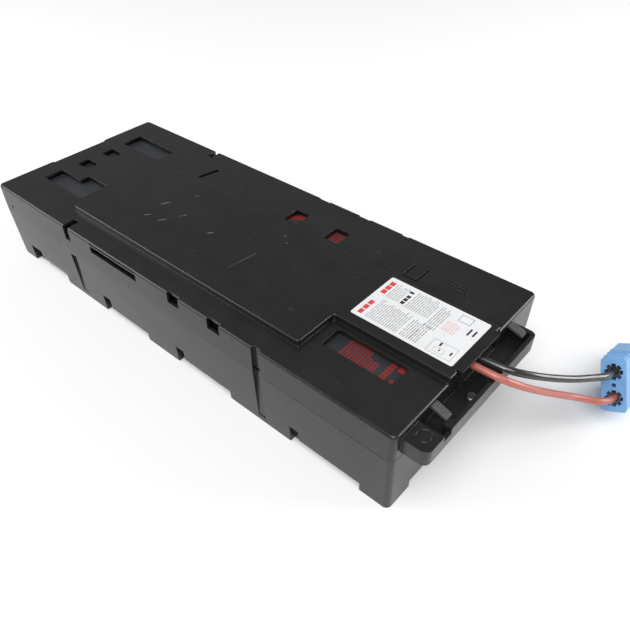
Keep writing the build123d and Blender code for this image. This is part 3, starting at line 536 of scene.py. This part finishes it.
def make_sleeve():
    """Soft vinyl sleeve of a flag receptacle."""
    material, tree, shader = new_finish("receptacle_sleeve")
    grain = use_group(tree, moulded_grain, grain_size=0.0004, flow_size=0.006)
    edges = use_group(tree, rubbed_edges, round=0.0004, patch_size=0.004)
    colour = tint(tree, grain["Tone"], (0.36, 0.035, 0.03), (0.46, 0.05, 0.04))
    colour = tint(tree, calc(tree, "MULTIPLY", edges["Wear"], 0.4), colour, (0.6, 0.2, 0.18))
    feed(tree, colour, shader.inputs["Base Color"])
    feed(tree, remap(tree, grain["Tone"], 0.0, 1.0, 0.34, 0.46), shader.inputs["Roughness"])
    raise_surface(tree, shader, grain["Height"], 0.00002, edges["Normal"])
    return material


def make_insulation(name, dark, light, rough, soil):
    """Wire insulation with fine draw marks, the strands showing faintly, and finger marks."""
    material, tree, shader = new_finish(name)
    place = here(tree)
    marks = noise(tree, moved(tree, place, scale=(0.35, 0.35, 1)), 900.0, detail=3, roughness=0.6)
    hands = noise(tree, place, 70.0, detail=4, roughness=0.6)
    dust = use_group(tree, settled_dust, amount=0.5)["Dust"]
    colour = tint(tree, remap(tree, marks, 0.3, 0.7), dark, light)
    colour = tint(tree, remap(tree, hands, 0.5, 0.75, 0.0, 0.35), colour, soil)
    colour = tint(tree, calc(tree, "MULTIPLY", dust, 0.2), colour, (0.4, 0.38, 0.35))
    feed(tree, colour, shader.inputs["Base Color"])
    feed(tree, remap(tree, hands, 0.3, 0.7, rough, rough + 0.14), shader.inputs["Roughness"])
    strands = noise(tree, moved(tree, place, shift=(4, 4, 4)), 110.0, detail=1)
    wavy = raise_surface(tree, shader, strands, 0.00012)
    raise_surface(tree, shader, marks, 0.000008, wavy)
    shader.inputs["Specular IOR Level"].default_value = 0.9
    return material


def make_connector_blue():
    """Pale blue moulded connector with a fine matt grain and chalky edges."""
    material, tree, shader = new_finish("connector_blue")
    grain = use_group(tree, moulded_grain, grain_size=0.0004, flow_size=0.012)
    edges = use_group(tree, rubbed_edges, round=0.0006, patch_size=0.006)
    scratch = use_group(tree, hairline_scratches, length=0.02, share=0.12)["Scratch"]
    dust = use_group(tree, settled_dust, amount=0.5)["Dust"]
    colour = tint(tree, grain["Tone"], (0.155, 0.35, 0.63), (0.18, 0.39, 0.71))
    colour = tint(tree, calc(tree, "MULTIPLY", edges["Wear"], 0.6), colour, (0.4, 0.62, 0.82))
    colour = tint(tree, calc(tree, "MULTIPLY", scratch, 0.35), colour, (0.45, 0.62, 0.78))
    colour = tint(tree, calc(tree, "MULTIPLY", dust, 0.2), colour, (0.5, 0.5, 0.48))
    feed(tree, colour, shader.inputs["Base Color"])
    rough = remap(tree, grain["Tone"], 0.0, 1.0, 0.36, 0.46)
    feed(tree, calc(tree, "MULTIPLY_ADD", scratch, 0.2, rough), shader.inputs["Roughness"])
    raise_surface(tree, shader, grain["Height"], 0.000018, edges["Normal"])
    return material


WHITE_FILM = (0.7, 0.71, 0.72)
SLATE = (0.024, 0.027, 0.034)

finishes = {
    "case_plastic": make_case_plastic(),
    "battery_plastic": make_battery_plastic(),
    "latch_grey": make_latch_grey(),
    "screw_steel": make_metal(
        "screw_steel", dark=(0.16, 0.16, 0.155), light=(0.3, 0.3, 0.29),
        rough=0.26, streak_scale=(1, 1, 1),
    ),
    "label_film": make_label_film(),
    "terminal_tin": make_metal(
        "terminal_tin", dark=(0.52, 0.51, 0.48), light=(0.66, 0.65, 0.62),
        rough=0.28, streak_scale=(1, 1, 0.15),
    ),
    "receptacle_sleeve": make_sleeve(),
    "wire_red": make_insulation(
        "wire_red", dark=(0.4, 0.1, 0.072), light=(0.49, 0.135, 0.1),
        rough=0.3, soil=(0.32, 0.085, 0.065),
    ),
    "wire_black": make_insulation(
        "wire_black", dark=(0.014, 0.014, 0.015), light=(0.024, 0.024, 0.025),
        rough=0.16, soil=(0.035, 0.035, 0.034),
    ),
    "connector_blue": make_connector_blue(),
    # The contact metal is given dark colours as painted shade: it stands for the shade deep in the
    # connector's cavities, not for the tin's own colour.
    "contact_tin": make_metal(
        "contact_tin", dark=(0.1, 0.1, 0.11), light=(0.17, 0.17, 0.18),
        rough=0.3, streak_scale=(1, 0.15, 1),
    ),
    "spring_steel": make_metal(
        "spring_steel", dark=(0.4, 0.4, 0.4), light=(0.55, 0.55, 0.55),
        rough=0.24, streak_scale=(1, 0.12, 1),
    ),
}
ink_grey = make_ink("ink_grey", (0.3, 0.3, 0.31), WHITE_FILM, 0.8)
ink_black = make_ink("ink_black", (0.02, 0.02, 0.022), WHITE_FILM, 0.92)
ink_red = make_ink("ink_red", (0.6, 0.03, 0.03), WHITE_FILM, 0.85)
ink_pink = make_ink("ink_pink", (0.78, 0.42, 0.42), WHITE_FILM, 0.8)
battery_red = make_ink("battery_red", (0.25, 0.022, 0.018), SLATE, 0.55)

for part in nodes.values():
    for slot in part.material_slots:
        slot.material = finishes[slot.material.name.split(".")[0]]
red_lead.data.materials.append(finishes["wire_red"])
black_lead.data.materials.append(finishes["wire_black"])


# Print and moulded marks

def add_piece(name, bm, finish):
    """Finished mesh that rides with the case."""
    mesh = bpy.data.meshes.new(name)
    bm.to_mesh(mesh)
    bm.free()
    mesh.materials.append(finish)
    piece = bpy.data.objects.new(name, mesh)
    bpy.context.scene.collection.objects.link(piece)
    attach(piece, "root")


def add_bar(bm, low, high, turn=0.0):
    """Flat bar between two corners in millimetres, turned about its middle."""
    low = Vector(low) * MM
    high = Vector(high) * MM
    bmesh.ops.create_cube(
        bm,
        size=1,
        matrix=Matrix.Translation((low + high) / 2)
        @ Matrix.Rotation(radians(turn), 4, "Z")
        @ Matrix.Diagonal((*(high - low), 1)),
    )


def add_words(bm, chance, x, thickness, start, end, base, word=(2.4, 7.5), gap=0.7):
    """Row of plain bars along Y, broken as words would be."""
    y = start
    while y < end - word[0]:
        stop = min(end, y + chance.uniform(*word))
        add_bar(bm, (x, y, base), (x + thickness, stop, base + PRINT_HEIGHT))
        y = stop + gap


label_low, label_high = (corner / MM for corner in map(Vector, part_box("label")))


def label_rows(name, finish, rows, seed):
    """Rows of plain bars: back edge, near edge, far edge, count of rows, pitch and thickness."""
    chance = Random(seed)
    bm = bmesh.new()
    for back, near, far, count, pitch, thickness in rows:
        for row in range(count):
            end = far - chance.uniform(0, 0.14) * (far - near)
            x = label_low.x + back + row * pitch
            add_words(bm, chance, x, thickness, label_low.y + near, label_low.y + end, label_high.z)
    add_piece(name, bm, finish)


def label_bars(name, finish, bars):
    """Single plain bars on the label: back edge, near edge, length along X and length along Y."""
    bm = bmesh.new()
    for back, near, long, wide in bars:
        low = (label_low.x + back, label_low.y + near, label_high.z)
        add_bar(bm, low, (low[0] + long, low[1] + wide, low[2] + PRINT_HEIGHT))
    add_piece(name, bm, finish)


label_rows("label_small_print", ink_grey, [
    (10.0, 2.6, 25.0, 15, 1.7, 0.6),
    (8.5, 28.0, 46.5, 6, 1.7, 0.6),
    (24.5, 27.0, 47.0, 11, 1.7, 0.6),
    (44.5, 19.5, 47.0, 5, 1.7, 0.65),
    (37.0, 2.6, 23.5, 8, 1.7, 0.65),
], seed=3)
label_rows("label_pink_print", ink_pink, [
    (55.0, 24.0, 35.5, 5, 1.9, 0.7),
    (44.0, 4.0, 16.0, 1, 1.7, 0.7),
], seed=5)
label_bars("label_headings", ink_red, [
    (3.4, 3.2, 3.4, 4.6), (3.4, 8.8, 3.4, 4.6), (3.4, 14.4, 3.4, 4.6),
    (2.8, 29.5, 3.8, 4.4), (2.8, 34.7, 3.8, 4.4), (2.8, 39.9, 3.8, 4.4),
])
label_bars("label_blocks", ink_black, [
    (19.6, 28.5, 2.9, 3.0), (19.6, 32.3, 2.9, 3.0), (19.6, 36.1, 2.9, 3.0), (18.6, 41.6, 3.4, 2.2),
    (62.0, 10.5, 1.3, 3.6), (64.2, 6.2, 0.9, 1.8), (71.5, 7.2, 1.2, 3.2),
    (69.8, 30.0, 1.3, 7.0), (73.2, 31.0, 1.3, 6.0),
])
label_bars("label_frames", ink_grey, [
    (57.0, 2.4, 17.5, 0.3), (57.0, 14.6, 17.5, 0.3), (57.0, 2.4, 0.3, 12.5), (74.2, 2.4, 0.3, 12.5),
    (60.6, 4.4, 7.4, 0.25), (60.6, 8.8, 7.4, 0.25), (60.6, 4.4, 0.25, 4.6), (67.8, 4.4, 0.25, 4.6),
    (58.5, 38.6, 9.0, 0.5), (58.5, 45.4, 9.0, 0.5), (58.5, 38.6, 0.5, 7.3), (67.0, 38.6, 0.5, 7.3),
])


def battery_print():
    """Plain red bars printed on the two front batteries' faces, seen through the windows."""
    chance = Random(11)
    bm = bmesh.new()
    base = BATTERY_TOP
    top = BATTERY_TOP + PRINT_HEIGHT
    # Twelve rows under the near front window, of which the last four are shorter
    for row in range(12):
        short = 8.0 if row > 7 else 0.0
        far = -29.5 - short - chance.uniform(0, 1.5)
        add_words(bm, chance, 137.0 + row * 2.3, 1.35, -56.0, far, base, word=(1.6, 4.2), gap=0.5)
    # Six rows under the second print window
    for row in range(6):
        add_words(bm, chance, 49.0 + row * 2.4, 1.5, 40.5, 58.0, base, word=(1.6, 4.6), gap=0.5)
    # Five blocks in a line and two single ones under the near front window
    for step in range(5):
        y = -48.0 + step * 3.2
        add_bar(bm, (168.6, y, base), (173.0, y + 2.5, top))
    add_bar(bm, (174.6, -36.4, base), (179.8, -30.0, top))
    add_bar(bm, (176.4, -50.0, base), (179.0, -44.6, top), turn=20)
    # Slanted bar under the first print window
    add_bar(bm, (-8.0, 47.0, base), (22.0, 52.6, top), turn=40)
    add_piece("battery_print", bm, battery_red)


battery_print()


def moulded_marks():
    """Small raised bars moulded in the far deck beside the label."""
    chance = Random(4)
    bm = bmesh.new()
    for row in range(3):
        y = 56.5 - row * 3.4
        x = 150.5
        while x < 170.0:
            long = chance.uniform(1.0, 2.4)
            add_bar(bm, (x, y, DECK_TOP - 0.05), (x + long, y + 1.4, DECK_TOP + MARK_HEIGHT))
            x += long + 0.9
    bmesh.ops.bevel(
        bm, geom=bm.edges, offset=0.08 * MM, segments=1, profile=0.5, affect="EDGES", material=-1,
    )
    add_piece("moulded_marks", bm, finishes["case_plastic"])


moulded_marks()


# Floor and lights

def make_floor(half_width):
    """Wide pale floor under the cartridge, its half width in metres."""
    bm = bmesh.new()
    bmesh.ops.create_grid(bm, x_segments=1, y_segments=1, size=half_width)
    mesh = bpy.data.meshes.new("studio_floor")
    bm.to_mesh(mesh)
    bm.free()
    floor = bpy.data.objects.new("studio_floor", mesh)
    material, _, shader = new_finish("studio_floor")
    shader.inputs["Base Color"].default_value = (0.9, 0.9, 0.9, 1)
    shader.inputs["Roughness"].default_value = 0.9
    mesh.materials.append(material)
    bpy.context.scene.collection.objects.link(floor)


def make_softbox(name, place, aim, size, power):
    """Area light aimed at a point."""
    data = bpy.data.lights.new(name, "AREA")
    data.shape = "RECTANGLE"
    data.size = size[0]
    data.size_y = size[1]
    data.energy = power
    light = bpy.data.objects.new(name, data)
    light.location = place
    light.rotation_euler = (Vector(aim) - Vector(place)).to_track_quat("-Z", "Y").to_euler()
    light.visible_camera = False
    bpy.context.scene.collection.objects.link(light)


def make_sun(direction, spread, strength):
    """Broad even light that reaches the whole floor."""
    data = bpy.data.lights.new("sky_panel", "SUN")
    data.angle = spread
    data.energy = strength
    light = bpy.data.objects.new("sky_panel", data)
    light.rotation_euler = (-Vector(direction)).to_track_quat("-Z", "Y").to_euler()
    bpy.context.scene.collection.objects.link(light)


def make_world(strength):
    """Even pale surroundings."""
    world = bpy.data.worlds.new("studio")
    world.use_nodes = True
    background = world.node_tree.nodes["Background"]
    background.inputs["Color"].default_value = (1, 1, 1, 1)
    background.inputs["Strength"].default_value = strength
    bpy.context.scene.world = world


make_floor(half_width=6)
make_sun(direction=(0.25, -0.42, 0.87), spread=radians(50), strength=2.1)
make_softbox(
    "near_softbox", place=(-1.1, -0.85, 0.78), aim=(0, -0.08, 0.07), size=(1.1, 0.7), power=11,
)
make_softbox(
    "front_softbox", place=(1.0, 0.93, 0.52), aim=(0.2, 0, 0.07), size=(0.9, 0.5), power=10,
)
make_softbox(
    "camera_softbox", place=(0.36, -0.33, 0.41), aim=(0.1, -0.05, 0.05), size=(0.06, 0.06), power=0.35,
)
make_world(strength=0.24)
bpy.context.scene.view_settings.view_transform = "Standard"
